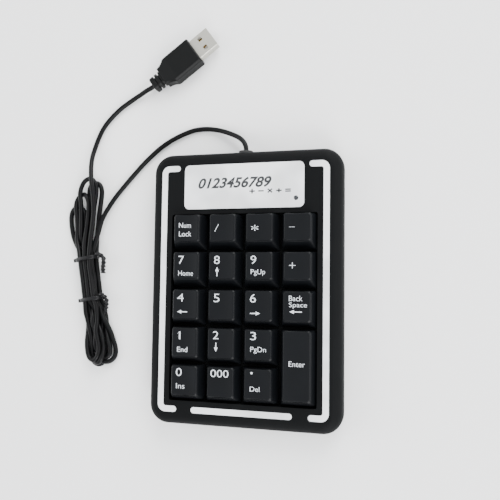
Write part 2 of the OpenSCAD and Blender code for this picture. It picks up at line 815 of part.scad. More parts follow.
module plug_shell() {
    color("#c9cbcc") at_plug() difference() {
        rotate([90, 0, 90]) translate([0, 0, -shell_in]) linear_extrude(shell_in + shell_l) difference() {
            rounded(shell_w, shell_t, 0.6);
            rounded(shell_w - 2 * shell_wall, shell_t - 2 * shell_wall, 0.3);
        }
        for (s = [-1, 1]) translate([window_at, s * window_y, 0])
            cube([window_w, window_w, shell_t + 1], center = true);
    }
}

// Plastic block that fills the shell's root and carries the contacts on its tongue
module plug_tongue() {
    inner_w = shell_w - 2 * shell_wall;
    inner_t = shell_t - 2 * shell_wall;
    color("#f0f0ee") at_plug() {
        translate([-shell_in, -inner_w / 2 + 0.3, -inner_t / 2]) cube([shell_in - 1, inner_w - 0.6, inner_t]);
        translate([-shell_in, -tongue_w / 2, -inner_t / 2])
            cube([shell_in + shell_l - 0.8, tongue_w, tongue_t]);
    }
}

module plug_contacts() {
    color("#d4af5a") at_plug() for (i = [0 : 3]) {
        long = i == 0 || i == 3;
        y = [-3.5, -1, 1, 3.5][i];
        translate([-1, y - 0.5, tongue_t - shell_t / 2 + shell_wall])
            cube([shell_l - (long ? 1.2 : 2.4), 1, contact_t]);
    }
}

top_cover();
bottom_cover();
name_plate();
trim_left();
trim_right();
trim_front();
for (k = KEYS) keycap(k);
enter_stabiliser();
rubber_domes();
membrane_upper();
membrane_spacer();
membrane_lower();
tail_pad();
circuit_board();
controller_chip();
crystal();
wire_header();
status_led();
led_lens();
board_screws();
case_screws();
rubber_feet();
cord_grommet();
cord_inside();
core_wires();
cord_lead();
cord_hank();
cord_tail();
tie_upper();
tie_lower();
plug_grip();
plug_relief();
plug_shell();
plug_tongue();
plug_contacts();
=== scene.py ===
"""Numeric keypad: black ABS case, nineteen keys, bright trim, and a thin USB lead wound into a tied hank."""
import math
import bmesh
import bpy
import numpy as np
from mathutils import Matrix, Vector


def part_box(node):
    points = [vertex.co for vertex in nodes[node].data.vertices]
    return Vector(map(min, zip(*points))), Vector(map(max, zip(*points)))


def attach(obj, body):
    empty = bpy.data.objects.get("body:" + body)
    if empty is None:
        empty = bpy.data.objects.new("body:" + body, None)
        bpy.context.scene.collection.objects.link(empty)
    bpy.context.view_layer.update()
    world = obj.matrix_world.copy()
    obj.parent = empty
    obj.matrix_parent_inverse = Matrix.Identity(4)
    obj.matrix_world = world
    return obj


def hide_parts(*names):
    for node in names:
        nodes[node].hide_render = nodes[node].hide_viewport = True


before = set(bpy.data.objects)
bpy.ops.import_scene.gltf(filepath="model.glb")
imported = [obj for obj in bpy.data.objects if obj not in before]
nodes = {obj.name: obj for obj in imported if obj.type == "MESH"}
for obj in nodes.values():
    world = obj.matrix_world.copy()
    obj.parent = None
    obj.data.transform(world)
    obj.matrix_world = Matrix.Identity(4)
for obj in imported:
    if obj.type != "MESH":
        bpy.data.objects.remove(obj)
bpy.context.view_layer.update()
mm = 0.001


# --- Camera: high over the right of the case, looking down at the middle of the name plate's front edge ---
eye = Vector((81.87, 1.13, 304.03)) * mm
aim = Vector((0, 20.1, 0)) * mm
roll = math.radians(0.745)
back = (eye - aim).normalized()
right = Vector((-math.sin(roll), math.cos(roll), 0)).cross(back).normalized()
view = bpy.data.cameras.new("camera")
view.lens = 43.2
view.sensor_width = 36
camera = bpy.data.objects.new("camera", view)
camera.matrix_world = Matrix.Translation(eye) @ Matrix((right, back.cross(right), back)).transposed().to_4x4()
bpy.context.scene.collection.objects.link(camera)
bpy.context.scene.camera = camera


# --- Lead: four fine wires in a round, soft PVC jacket, extruded black. It lies along the table, goes up and
# down in the ten runs of a hank held by two twist ties, and comes off the hank's top to the plug.
cord_d = 2.6
cord_exit = (-1.2, 71.2, 6)
cord_floor = 1.35
rings_apart = 1.25
lead_route = [
    cord_exit, (-1.2, 73.2, 6), (-2.6, 76.4, 5.4), (-5.6, 79.2, 4.4), (-9.6, 81.3, 3.5),
    (-14.6, 83.4, 2.5), (-20, 84.9, 1.8), (-25.5, 85.6, 1.4), (-31, 85.3, 1.4), (-36, 84, 1.4),
    (-41.3, 82, 1.4), (-46.6, 79.4, 1.4), (-52, 75.9, 1.4), (-57, 71.8, 1.4), (-62, 67.2, 1.4),
    (-67, 62, 1.4), (-72, 56.6, 1.4), (-77, 50.7, 1.7), (-81, 44.7, 2.4), (-84.6, 37.6, 3.4)
]
plug_at = np.array([-30.7, 128.1, 4.1])
plug_turn = math.radians(35.7)
plug_axis = np.array([math.cos(plug_turn), math.sin(plug_turn), 0])
tail_route = [
    (-90.4, 58, 6.6), (-91.3, 63, 5.6), (-92, 68, 4.4), (-92.2, 72.5, 3.2), (-91.6, 77, 2),
    (-89.8, 82.8, 1.5), (-86.8, 89, 1.4), (-82.8, 94, 1.4), (-76.6, 99.6, 1.4), (-70.4, 103.5, 1.6),
    (-63.6, 106.9, 2.4), (-59.4, 108.6, 3.6), tuple(plug_at - 31 * plug_axis), tuple(plug_at - 30 * plug_axis)
]
# Middle of the bundle at the upper tie, between the ties and at the lower tie, and the way across it
waists = np.array([(-92.8, 15.4), (-91, 4.2), (-89.2, -7)])
across = np.array([0.987, 0.159])
# Place of each of the ten runs in the bundle: across it, and height
places = [
    (2.6, 4.15), (1.3, 1.9), (3.9, 1.9), (0, 4.15), (-1.3, 1.9),
    (-0.6, 6.4), (-3.2, 6.4), (-2.6, 4.15), (-3.9, 1.9), (2.2, 6.4)
]
# Folds at the two ends: x of the run coming in and going out, y of the tip, height, x of the belly going out
rear_folds = [
    (-94.5, -86.6, 58.4, 2.6, -88.6), (-89, -97.8, 60.6, 4.4, -97), (-93.5, -101, 52.2, 4.2, -99.6),
    (-97, -105.2, 45, 2.4, -103.4)
]
front_folds = [
    (-74.8, -84, -41.6, 2.6, -84.4), (-77.9, -84.8, -39.4, 4.6, -85.6), (-89.9, -82.5, -43.3, 2.2, -84.4),
    (-88.6, -81.8, -42.2, 4.6, -84.6), (-89.6, -82.6, -40.5, 6.2, -85)
]
fold_points = 9
fold_slope = 1.2
# y of the belly of a run that leaves a rear fold (1) or a front fold (-1)
bellies = {1: 27, -1: -24}
# The hank's highest and farthest right points, and how far from its middle the ties hold it
hank_top, hank_right, tied_half = 6.75, -60, 12.5
# Lengths at the two ends which lie as drawn, and the rounds in which the rest settles
lead_held, tail_held, rounds = 160, 118, 200


def fold(x_in, x_out, tip, height, belly, end):
    """Half an ellipse from x_in to x_out with its tip at y = tip, to +Y for end 1 and to -Y for end -1:
    x = middle - r cos(t), y = tip - end * fold_slope * r (1 - sin(t)), then a point on the belly going out."""
    turn = np.linspace(0, np.pi, fold_points)
    half = (x_out - x_in) / 2
    points = np.stack([
        (x_in + x_out) / 2 - half * np.cos(turn),
        tip - end * fold_slope * abs(half) * (1 - np.sin(turn)),
        np.full(fold_points, height)
    ], 1)
    return np.vstack([points, [(belly, bellies[end], height)]])


def smooth_line(points, step):
    """Cubic Hermite curve through points, cut to equal steps. Its parameter is the sum of the square roots of
    the chords."""
    points = np.asarray(points, float)
    knots = np.r_[0, np.cumsum(np.linalg.norm(np.diff(points, axis=0), axis=1) ** 0.5)]
    slopes = np.gradient(points, knots, axis=0)
    fine = np.linspace(0, knots[-1], 60 * len(points))
    i = np.clip(np.searchsorted(knots, fine, side="right") - 1, 0, len(knots) - 2)
    span = (knots[i + 1] - knots[i])[:, None]
    t = (fine - knots[i])[:, None] / span
    curve = ((2 * t**3 - 3 * t**2 + 1) * points[i] + (t**3 - 2 * t**2 + t) * span * slopes[i]
             + (3 * t**2 - 2 * t**3) * points[i + 1] + (t**3 - t**2) * span * slopes[i + 1])
    way = np.r_[0, np.cumsum(np.linalg.norm(np.diff(curve, axis=0), axis=1))]
    marks = np.linspace(0, way[-1], int(round(way[-1] / step)) + 1)
    return np.stack([np.interp(marks, way, curve[:, axis]) for axis in range(3)], 1)


def settle(line, held, rounds):
    """Lays the line down as a springy cord. In each round a point moves half way to the smooth curve of its
    four neighbours, neighbours return to their step, a point goes a little way back to where it was drawn
    (more between the ties), and points nearer than a diameter push apart, above the table and under the
    ties."""
    home_tied, home_free, sink, ease, own_reach = 0.1, 0.02, 0.02, 0.6, 1.7
    drawn = line.copy()
    step = np.linalg.norm(np.diff(line, axis=0), axis=1).mean()
    free = (~held)[:, None].astype(float)
    wound = np.nonzero(drawn[:, 0] < hank_right)[0]
    apart = np.abs(wound[:, None] - wound[None]) > round(own_reach * cord_d / step)
    tied = (np.abs(drawn[:, 1] - waists[1, 1]) < tied_half) & (drawn[:, 0] < hank_right)
    pull = np.where(tied, home_tied, home_free)[:, None] * free
    for _ in range(rounds):
        for reach in (1, 2):
            inner = slice(2 * reach, -2 * reach)
            smooth = line.copy()
            smooth[inner] = (-line[:-4 * reach] + 4 * line[reach:-3 * reach] + 10 * line[inner]
                             + 4 * line[3 * reach:-reach] - line[4 * reach:]) / 16
            line += 0.5 * free * (smooth - line)
        for first in (0, 1, 0, 1):
            i = np.arange(first, len(line) - 1, 2)
            chord = line[i + 1] - line[i]
            length = np.linalg.norm(chord, axis=1)[:, None]
            shift = (length - step) / length / 2 * chord
            line[i] += free[i] * shift
            line[i + 1] -= free[i + 1] * shift
        line += pull * (drawn - line)
        near = line[wound]
        square = (near**2).sum(1)
        gap2 = square[:, None] + square[None] - 2 * near @ near.T
        i, j = np.nonzero((gap2 < cord_d**2) & apart)
        way = near[i] - near[j]
        gap = np.maximum(np.linalg.norm(way, axis=1), 1e-6)
        push = np.zeros_like(near)
        np.add.at(push, i, ((cord_d - gap) / gap / 2)[:, None] * way)
        crowd = np.maximum(np.bincount(i, minlength=len(near)), 1)[:, None] * ease
        line[wound] += free[wound] * push / crowd
        line[:, 2] = np.where(held, line[:, 2], np.clip(line[:, 2] - sink, cord_floor, hank_top))
    return line


runs = [lead_route, [(-86.5, 30, 4.2)]]
for run, (aside, height) in enumerate(places):
    stretch = np.c_[waists + aside * across, np.full(3, height)]
    runs.append(stretch if run % 2 == 0 else stretch[::-1])
    if run % 2 == 0:
        runs.append(fold(*front_folds[run // 2], -1))
    elif run < 9:
        runs.append(fold(*rear_folds[run // 2], 1))
runs += [[(-88.8, 39.5, 6), (-88.9, 47.9, 6.5)], tail_route]
drawn_line = smooth_line(np.vstack(runs), rings_apart)
along = np.arange(len(drawn_line)) * rings_apart
lead_line = settle(drawn_line, (along < lead_held) | (along > along[-1] - tail_held), rounds) * mm


def linear(hex_colour):
    """sRGB hex to linear RGBA: ((c + 0.055) / 1.055) ** 2.4, or c / 12.92 in the darkest part."""
    shades = [int(hex_colour[i:i + 2], 16) / 255 for i in (1, 3, 5)]
    return [c / 12.92 if c < 0.04045 else ((c + 0.055) / 1.055) ** 2.4 for c in shades] + [1]


def add(tree, kind, settings=None, links=None):
    """Adds a shader node: settings go to its properties or else to its inputs, links join outputs to inputs."""
    node = tree.nodes.new("ShaderNode" + kind)
    for key, value in (settings or {}).items():
        if isinstance(key, str) and hasattr(node, key):
            setattr(node, key, value)
        else:
            node.inputs[key].default_value = value
    for key, output in (links or {}).items():
        tree.links.new(output, node.inputs[key])
    return node


def moulded(name, colour, light, roughness, grain, depth, settings=None):
    """Moulded or extruded plastic, rubber or ink: a colour that drifts to a lighter one over about 8 mm, a
    roughness that wanders by a tenth, and a fine bump with grains grain millimetres wide and depth deep."""
    material = bpy.data.materials.new(name)
    material.use_nodes = True
    tree = material.node_tree
    tree.nodes.clear()
    place = add(tree, "TexCoord").outputs["Object"]
    drift = add(tree, "TexNoise", {"Scale": 1 / (8 * mm), "Detail": 3}, {"Vector": place})
    shade = add(tree, "Mix", {"data_type": "RGBA", 6: linear(colour), 7: linear(light)},
                {0: drift.outputs["Fac"]})
    fine = add(tree, "TexNoise", {"Scale": 1 / (grain * mm), "Detail": 4, "Roughness": 0.6},
               {"Vector": place})
    gloss = add(tree, "MapRange", {"To Min": roughness - 0.05, "To Max": roughness + 0.05},
                {"Value": fine.outputs["Fac"]})
    bump = add(tree, "Bump", {"Strength": 1, "Distance": depth * mm}, {"Height": fine.outputs["Fac"]})
    body = add(tree, "BsdfPrincipled", {"IOR": 1.53, **(settings or {})},
               {"Base Color": shade.outputs[2], "Roughness": gloss.outputs[0], "Normal": bump.outputs[0]})
    add(tree, "OutputMaterial", links={"Surface": body.outputs[0]})
    return material


def closed_grid(grid):
    """A tube from a grid of rings x around x 3, closed by fans of triangles to the mean of each end ring."""
    rings, around = grid.shape[:2]
    vertices = np.vstack([grid.reshape(-1, 3), grid[0].mean(0), grid[-1].mean(0)])
    here = np.arange(rings * around).reshape(rings, around)
    there = np.roll(here, -1, axis=1)
    quads = np.stack([here[:-1], there[:-1], there[1:], here[1:]], -1).reshape(-1, 4)
    start = np.stack([np.full(around, rings * around), there[0], here[0]], 1)
    end = np.stack([np.full(around, rings * around + 1), here[-1], there[-1]], 1)
    return vertices, quads.tolist() + start.tolist() + end.tolist()


def carry(outline, line, reference=(0, 0, 1), twist=0.0):
    """A closed outline carried along a line. At each point side = tangent x reference, up = side x tangent,
    both turned about the tangent by twist; outline (u, v) goes to point + u side + v up."""
    tangent = np.gradient(line, axis=0)
    side = np.cross(tangent, reference)
    side /= np.linalg.norm(side, axis=1)[:, None]
    up = np.cross(side, tangent)
    up /= np.linalg.norm(up, axis=1)[:, None]
    turn = np.broadcast_to(twist, len(line))[:, None]
    first = np.cos(turn) * side + np.sin(turn) * up
    second = np.cos(turn) * up - np.sin(turn) * side
    across_line = outline[None, :, :1] * first[:, None]
    return closed_grid(line[:, None] + across_line + outline[None, :, 1:] * second[:, None])


def make_piece(name, surfaces, material, body, smooth=math.radians(35)):
    """One mesh object from closed surfaces, each turned so that its signed volume, the sum of a . (b x c) / 6
    over its triangles, is positive, with edges sharper than smooth left crisp."""
    vertices, faces = [], []
    for points, loops in surfaces:
        fan = np.array([(loop[0], loop[i], loop[i + 1]) for loop in loops for i in range(1, len(loop) - 1)])
        a, b, c = (points[fan[:, i]] - points.mean(0) for i in range(3))
        inside_out = np.einsum("ij,ij", a, np.cross(b, c)) < 0
        start = sum(len(v) for v in vertices)
        faces += [[start + v for v in (loop[::-1] if inside_out else loop)] for loop in loops]
        vertices.append(points)
    mesh = bpy.data.meshes.new(name)
    mesh.from_pydata(np.vstack(vertices).tolist(), [], faces)
    mesh.materials.append(material)
    mesh.shade_smooth()
    mesh.set_sharp_from_angle(angle=smooth)
    piece = bpy.data.objects.new(name, mesh)
    bpy.context.scene.collection.objects.link(piece)
    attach(piece, body)
    return piece


def circle(radius, sides):
    """Points of a circle, as (u, v) rows."""
    turn = np.arange(sides) * 2 * np.pi / sides
    return radius * np.stack([np.cos(turn), np.sin(turn)], 1)


# Soft PVC, extruded: near black, with a low sheen along its length and a faint drawn ripple. The Specular IOR
# Level of the black plastics is below 0.5, so that the white room around them does not wash the black out
lead_pvc = moulded("soft_pvc_black", "#060607", "#09090a", 0.4, 0.8, 0.012, {"Specular IOR Level": 0.12})
lead = make_piece("lead", [carry(circle(cord_d / 2 * mm, 16), lead_line)], lead_pvc, "case")
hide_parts("cord_lead", "cord_hank", "cord_tail")


def finish_node(name, material, bevel=0.0):
    """Gives a CAD node its material and, where bevel is given, rounds its welded edges by that many mm."""
    node = nodes[name]
    node.data.materials.clear()
    node.data.materials.append(material)
    if bevel:
        weld = node.modifiers.new("weld", "WELD")
        weld.merge_threshold = 0.002 * mm
        edge = node.modifiers.new("edge", "BEVEL")
        edge.width = bevel * mm
        edge.segments = 3
        edge.limit_method = "ANGLE"
        edge.angle_limit = math.radians(40)


finish_node("cord_inside", lead_pvc)


# --- Twist ties: a plastic-coated wire about 2 mm wide, drawn tight round the hank, its ends twisted together
# and folded down along the bundle. Each is one bent strip, so the pinch on its left is part of the same wire.
tie_black = moulded("coated_tie_wire_black", "#08080a", "#0c0c0e", 0.42, 0.5, 0.02,
                    {"Specular IOR Level": 0.2})
strip_size = np.array([0.36, 1.0])
ends_size = np.array([0.75, 1.35])
twist_pitch = 4.2
ends_step = 0.3
hank_way = np.array([-across[1], across[0], 0])
# The strip's way round the bundle: across it and height, from the right side over the top and back below
tie_loop = np.array([
    (1.02, 5.6), (0.86, 7.2), (0.5, 8.1), (0, 8.35), (-0.5, 8.1), (-0.88, 7), (-1.04, 5.7), (-1.2, 4.9),
    (-1.42, 4.5), (-1.42, 3.9), (-1.2, 3.5), (-1.05, 2.8), (-0.94, 1.5), (-0.6, 0.55), (0, 0.42), (0.6, 0.55),
    (0.94, 1.4), (1.04, 2.8), (1.04, 4.2), (1.08, 4.9)
])
# The twisted ends of each tie, from the strip outwards and then down along the bundle
twisted_ends = {
    "tie_upper": [(-86.9, 17.9, 5.3), (-84.6, 17.4, 5.5), (-82.4, 15.4, 5.3), (-82.5, 12.8, 4.6),
                  (-83.3, 10.2, 3.6), (-83.7, 7.6, 2.4)],
    "tie_lower": [(-84, -4.4, 5.3), (-82.2, -5, 5.4), (-80.3, -7, 5), (-80.4, -10, 4), (-81.4, -12.6, 3),
                  (-82.6, -14.6, 2)]
}


def flat_oval(half_u, half_v, sides=16):
    """A superellipse of power four: (u / half_u)^4 + (v / half_v)^4 = 1."""
    turn = np.arange(sides) * 2 * np.pi / sides
    c, s = np.cos(turn), np.sin(turn)
    return np.stack([half_u * np.sign(c) * abs(c) ** 0.5, half_v * np.sign(s) * abs(s) ** 0.5], 1)


for name, waist, half in (("tie_upper", waists[0], 5.75), ("tie_lower", waists[2], 5.7)):
    ring = np.c_[waist + tie_loop[:, :1] * half * across, tie_loop[:, 1]]
    band = carry(flat_oval(*strip_size) * mm, smooth_line(ring, 0.35) * mm, reference=hank_way)
    ends = smooth_line(twisted_ends[name], ends_step)
    turns = np.arange(len(ends)) * ends_step / twist_pitch * 2 * np.pi
    twisted = carry(flat_oval(*ends_size) * mm, ends * mm, twist=turns)
    tie = make_piece(name + "_wire", [band, twisted], tie_black, "case")
    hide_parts(name)


# --- Plug: a grip of soft PVC moulded over the lead and the root of a nickel-plated shell, with two grooves in
# its tail so that it bends. Inside the shell a white nylon tongue carries four gilt contacts.
plug_pvc = moulded("moulded_pvc_black", "#060707", "#0a0b0b", 0.45, 0.4, 0.008, {"Specular IOR Level": 0.12})
grip_l, grip_w, grip_t, neck_l, neck_w, neck_t = 23, 15.8, 8, 7, 11.4, 7
relief_l, relief_w, relief_t = 7, 8, 6.4
shoulder_r, grip_bevel = 7.5, 1.2
groove, groove_starts, groove_wall = 0.9, (1, 3.4), 0.05


def plug_rings(sections, bevel):
    """Bevelled oblongs across the plug's axis: each section is (distance back, width, thickness), and its
    outline goes (w/2, t/2 - b), (w/2 - b, t/2) and so on through the four corners."""
    sections = np.asarray(sections, float)
    w, t = sections[:, 1, None] / 2, sections[:, 2, None] / 2
    b = np.minimum(bevel, np.minimum(w, t) * 0.6)
    y = np.hstack([w, w - b, b - w, -w, -w, b - w, w - b, w])
    z = np.hstack([t - b, t, t, t - b, b - t, -t, -t, b - t])
    sideways = np.array([-plug_axis[1], plug_axis[0], 0])
    grid = plug_at - sections[:, :1, None] * plug_axis + y[..., None] * sideways
    grid = grid + z[..., None] * np.array([0, 0, 1])
    return closed_grid(grid * mm)


def rounded_by(piece, width):
    """Rounds the piece's edges with a bevel of that many millimetres, and keeps its flat faces flat."""
    edge = piece.modifiers.new("edge", "BEVEL")
    edge.width = width * mm
    edge.segments = 3
    edge.limit_method = "ANGLE"
    edge.angle_limit = math.radians(25)
    edge.harden_normals = True


back_from = np.linspace(0, 1, 13)
shoulder = shoulder_r - np.sqrt(shoulder_r**2 - (shoulder_r * 0.93 * (1 - back_from)) ** 2)
grip = [(0, grip_w - 0.8, grip_t - 0.8), (0.5, grip_w, grip_t), (8, grip_w, grip_t),
        (grip_l - neck_l - 0.4, grip_w, grip_t)]
grip += [(grip_l - neck_l * (1 - q), neck_w + min(2 * s, grip_w - neck_w), grip_t + (neck_t - grip_t) * q)
         for q, s in zip(back_from, shoulder)]
grip_piece = make_piece("grip", [plug_rings(grip, grip_bevel)], plug_pvc, "case")
rounded_by(grip_piece, 0.3)
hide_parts("plug_grip")
relief = [(0, relief_w, relief_t)]
for start in groove_starts:
    relief += [(start, relief_w, relief_t), (start + groove_wall, relief_w - 2 * groove, relief_t - 2 * groove),
               (start + groove, relief_w - 2 * groove, relief_t - 2 * groove),
               (start + groove + groove_wall, relief_w, relief_t)]
relief += [(relief_l - 0.5, relief_w, relief_t), (relief_l, relief_w - 1, relief_t - 1)]
relief_rings = plug_rings([(grip_l + d, w, t) for d, w, t in relief], grip_bevel)
relief_piece = make_piece("relief", [relief_rings], plug_pvc, "case")
rounded_by(relief_piece, 0.2)
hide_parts("plug_relief")


def metal(name, colour, roughness, line_mm, stretch, depth, metallic=1.0, settings=None):
    """Plated, rolled or drawn metal: fine lines along X, line_mm apart and stretch times as long, which wander
    in roughness by a tenth and stand depth millimetres deep, and patches of 25 mm a fifth duller."""
    material = bpy.data.materials.new(name)
    material.use_nodes = True
    tree = material.node_tree
    tree.nodes.clear()
    place = add(tree, "TexCoord").outputs["Object"]
    long = add(tree, "Mapping", {"vector_type": "POINT", "Scale": (1 / stretch, 1, 1)}, {"Vector": place})
    lines = add(tree, "TexNoise", {"Scale": 1 / (line_mm * mm), "Detail": 3}, {"Vector": long.outputs[0]})
    gloss = add(tree, "MapRange", {"To Min": roughness - 0.05, "To Max": roughness + 0.05},
                {"Value": lines.outputs["Fac"]})
    cloud = add(tree, "TexNoise", {"Scale": 1 / (25 * mm), "Detail": 2}, {"Vector": place})
    dull = [c * 0.8 for c in linear(colour)[:3]] + [1]
    patch = add(tree, "MapRange", {"From Min": 0.48, "From Max": 0.62}, {"Value": cloud.outputs["Fac"]})
    shade = add(tree, "Mix", {"data_type": "RGBA", 6: linear(colour), 7: dull}, {0: patch.outputs[0]})
    bump = add(tree, "Bump", {"Distance": depth * mm}, {"Height": lines.outputs["Fac"]})
    body = add(tree, "BsdfPrincipled", {"Metallic": metallic, **(settings or {})},
               {"Base Color": shade.outputs[2], "Roughness": gloss.outputs[0], "Normal": bump.outputs[0]})
    add(tree, "OutputMaterial", links={"Surface": body.outputs[0]})
    return material


# Nickel plate over pressed steel: warm light grey, drawn lines a third of a millimetre apart
finish_node("plug_shell", metal("nickel_plated_steel", "#bdbbb2", 0.36, 0.3, 6, 0.004, 0.8))
finish_node("plug_tongue", moulded("nylon_white", "#e9e9e4", "#f2f2ee", 0.45, 0.5, 0.01))
finish_node("plug_contacts", metal("gilt_contacts", "#d9b45c", 0.25, 0.2, 8, 0.002))


# --- Case halves: two injection-moulded ABS shells, spark-eroded to a fine matt outside, joined by a lip and
# four screws. Their shape is the CAD model's, with its rounded rim, key well and guide sleeves.
# Grain of the eroded mould is 0.1 to 0.2 mm; it is drawn at 0.35 mm so that it shows
case_abs = moulded("spark_eroded_abs_black", "#08090a", "#0b0c0d", 0.62, 0.35, 0.004,
                   {"Specular IOR Level": 0.06})
finish_node("top_cover", case_abs)
finish_node("bottom_cover", case_abs)
rubber = moulded("feet_rubber_black", "#141415", "#1c1c1d", 0.7, 0.5, 0.02)
finish_node("rubber_feet", rubber)
finish_node("cord_grommet", rubber)
finish_node("tail_pad", rubber)
finish_node("case_screws", metal("zinc_plated_screws", "#9a9da0", 0.4, 0.2, 4, 0.003))


# --- Name plate and trim: bright silver film on thin plastic, pressed into shallow recesses of the deck, with
# their edges rolled over. Dark printed signs stand where the maker's words would be.
silver = metal("bright_silver_film", "#f6f8fa", 0.3, 0.25, 12, 0.002, 0.25, {"IOR": 1.5})
for name in ("trim_left", "trim_right", "trim_front"):
    finish_node(name, silver, 0.3)
finish_node("name_plate", silver, 0.15)
plate_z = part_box("name_plate")[1][2] / mm
print_thick = 0.03
ink_dark = moulded("dark_screen_ink", "#17191c", "#1e2023", 0.5, 0.4, 0.002)


def printed(text, left, base, width, height, surface, slant=0.0, weight=0.0):
    """A line of print as a thin closed solid: the letters' outline, grown by weight, stretched so that it is
    width wide and its top height above the base, and laid so that z = surface(x, y) + or - print_thick."""
    letters = bpy.data.curves.new("letters", "FONT")
    letters.body = text
    letters.offset = weight
    letters.extrude = 0.02
    letters.resolution_u = 8
    letters.shear = slant
    carrier = bpy.data.objects.new("letters", letters)
    bpy.context.scene.collection.objects.link(carrier)
    mesh = bpy.data.meshes.new_from_object(carrier.evaluated_get(bpy.context.evaluated_depsgraph_get()))
    bpy.data.objects.remove(carrier)
    welded = bmesh.new()
    welded.from_mesh(mesh)
    bmesh.ops.remove_doubles(welded, verts=welded.verts, dist=1e-5)
    points = np.array([v.co for v in welded.verts])
    faces = [[v.index for v in face.verts] for face in welded.faces]
    welded.free()
    low, high = points.min(0), points.max(0)
    x = left + (points[:, 0] - low[0]) * width / (high[0] - low[0])
    y = base + points[:, 1] * height / high[1]
    z = surface(x, y) + np.where(points[:, 2] > 0, print_thick, -print_thick)
    return np.stack([x, y, z], 1) * mm, faces


def plate_top(x, y):
    """Height of the name plate's flat top, for print on it."""
    return np.full(len(x), plate_z)


signs = [printed("0123456789", -23.8, 51, 38.6, 5.2, plate_top, slant=0.3, weight=0.03),
         printed("+ − × ÷ =", 3.4, 47.2, 21.2, 2.7, plate_top, weight=0.03)]
make_piece("plate_signs", signs, ink_dark, "case")


# --- Status light: a smoked acrylic lens, slightly domed, over a red diode that stands on the circuit board
lens_low, lens_high = (np.array(corner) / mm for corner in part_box("led_lens"))
lens_mid, lens_r = (lens_low + lens_high) / 2, (lens_high[0] - lens_low[0]) / 2
dome_rise = 0.3


def turned(centre, profile, sides=48):
    """A profile of (radius, height) rows turned about the upright axis through centre:
    x = centre x + radius cos(t), y = centre y + radius sin(t)."""
    turn = np.arange(sides) * 2 * np.pi / sides
    radius, height = np.asarray(profile, float).T
    ring = np.stack([np.cos(turn), np.sin(turn)], 1)
    flat = centre[:2] + radius[:, None, None] * ring
    upright = np.broadcast_to(height[:, None, None], flat.shape[:2] + (1,))
    return closed_grid(np.concatenate([flat, upright], 2) * mm)


rise = np.linspace(0, 1, 7)
lens_profile = [(lens_r * 0.3, lens_low[2]), (lens_r, lens_low[2]), (lens_r, lens_high[2] - 0.05)]
lens_profile += [(lens_r * (1 - q * 0.97), lens_high[2] + dome_rise * (1 - (1 - q) ** 2)) for q in rise]
smoked = moulded("smoked_acrylic", "#1d2023", "#2b2e31", 0.12, 1, 0.002, {"IOR": 1.49, "Coat Weight": 0.5})
lens = make_piece("lens", [turned(lens_mid, lens_profile)], smoked, "case")
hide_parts("led_lens")
finish_node("status_led", moulded("red_diode_epoxy", "#b3211a", "#c9362c", 0.2, 1, 0.004))


# --- Keys: nineteen ABS caps moulded with a thin wall, a hollow top that curves across the finger, soft upper
# edges and a barbed square stem. Their signs are pad-printed in pale ink.
key_abs = moulded("satin_abs_keys", "#08090b", "#0b0d10", 0.42, 0.3, 0.004, {"Specular IOR Level": 0.12})
ink_white = moulded("white_pad_ink", "#bfc4c9", "#cdd1d5", 0.5, 0.4, 0.002)
skirt_z, key_wall, dish = 11.7, 1.2, 0.5
side_taper, rear_taper = 2.4, 0.3
skirt_r, top_r, edge_r = 0.8, 1.4, 0.7
front_tapers = {"rear_rows": 4.2, "front_rows": 3}
stem_w, barb_w, barb_out, barb_h, barb_drop = 6, 2, 0.5, 0.8, 4.8
ring_points = 64
key_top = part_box("key_7")[1][2] / mm
ceiling_z = key_top - dish - key_wall
dish_half = (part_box("key_7")[1][0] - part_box("key_7")[0][0]) / mm / 2 - side_taper


def ring(half_x, half_y, radius, shift_y):
    """A rounded oblong of ring_points: four quarter circles of eight points about the corner centres, and
    eight points along each side between them."""
    quarter = np.radians(np.linspace(0, 90, 8))
    side = np.linspace(0, 1, 10)[1:-1]
    corners = []
    for turn, (sx, sy) in enumerate(((1, 1), (-1, 1), (-1, -1), (1, -1))):
        angle = quarter + turn * np.pi / 2
        corners.append(np.stack([sx * (half_x - radius) + radius * np.cos(angle),
                                 sy * (half_y - radius) + radius * np.sin(angle)], 1))
    points = []
    for here, after in zip(corners, corners[1:] + corners[:1]):
        points += [here, here[-1] + side[:, None] * (after[0] - here[-1])]
    return np.vstack(points) + [0, shift_y]


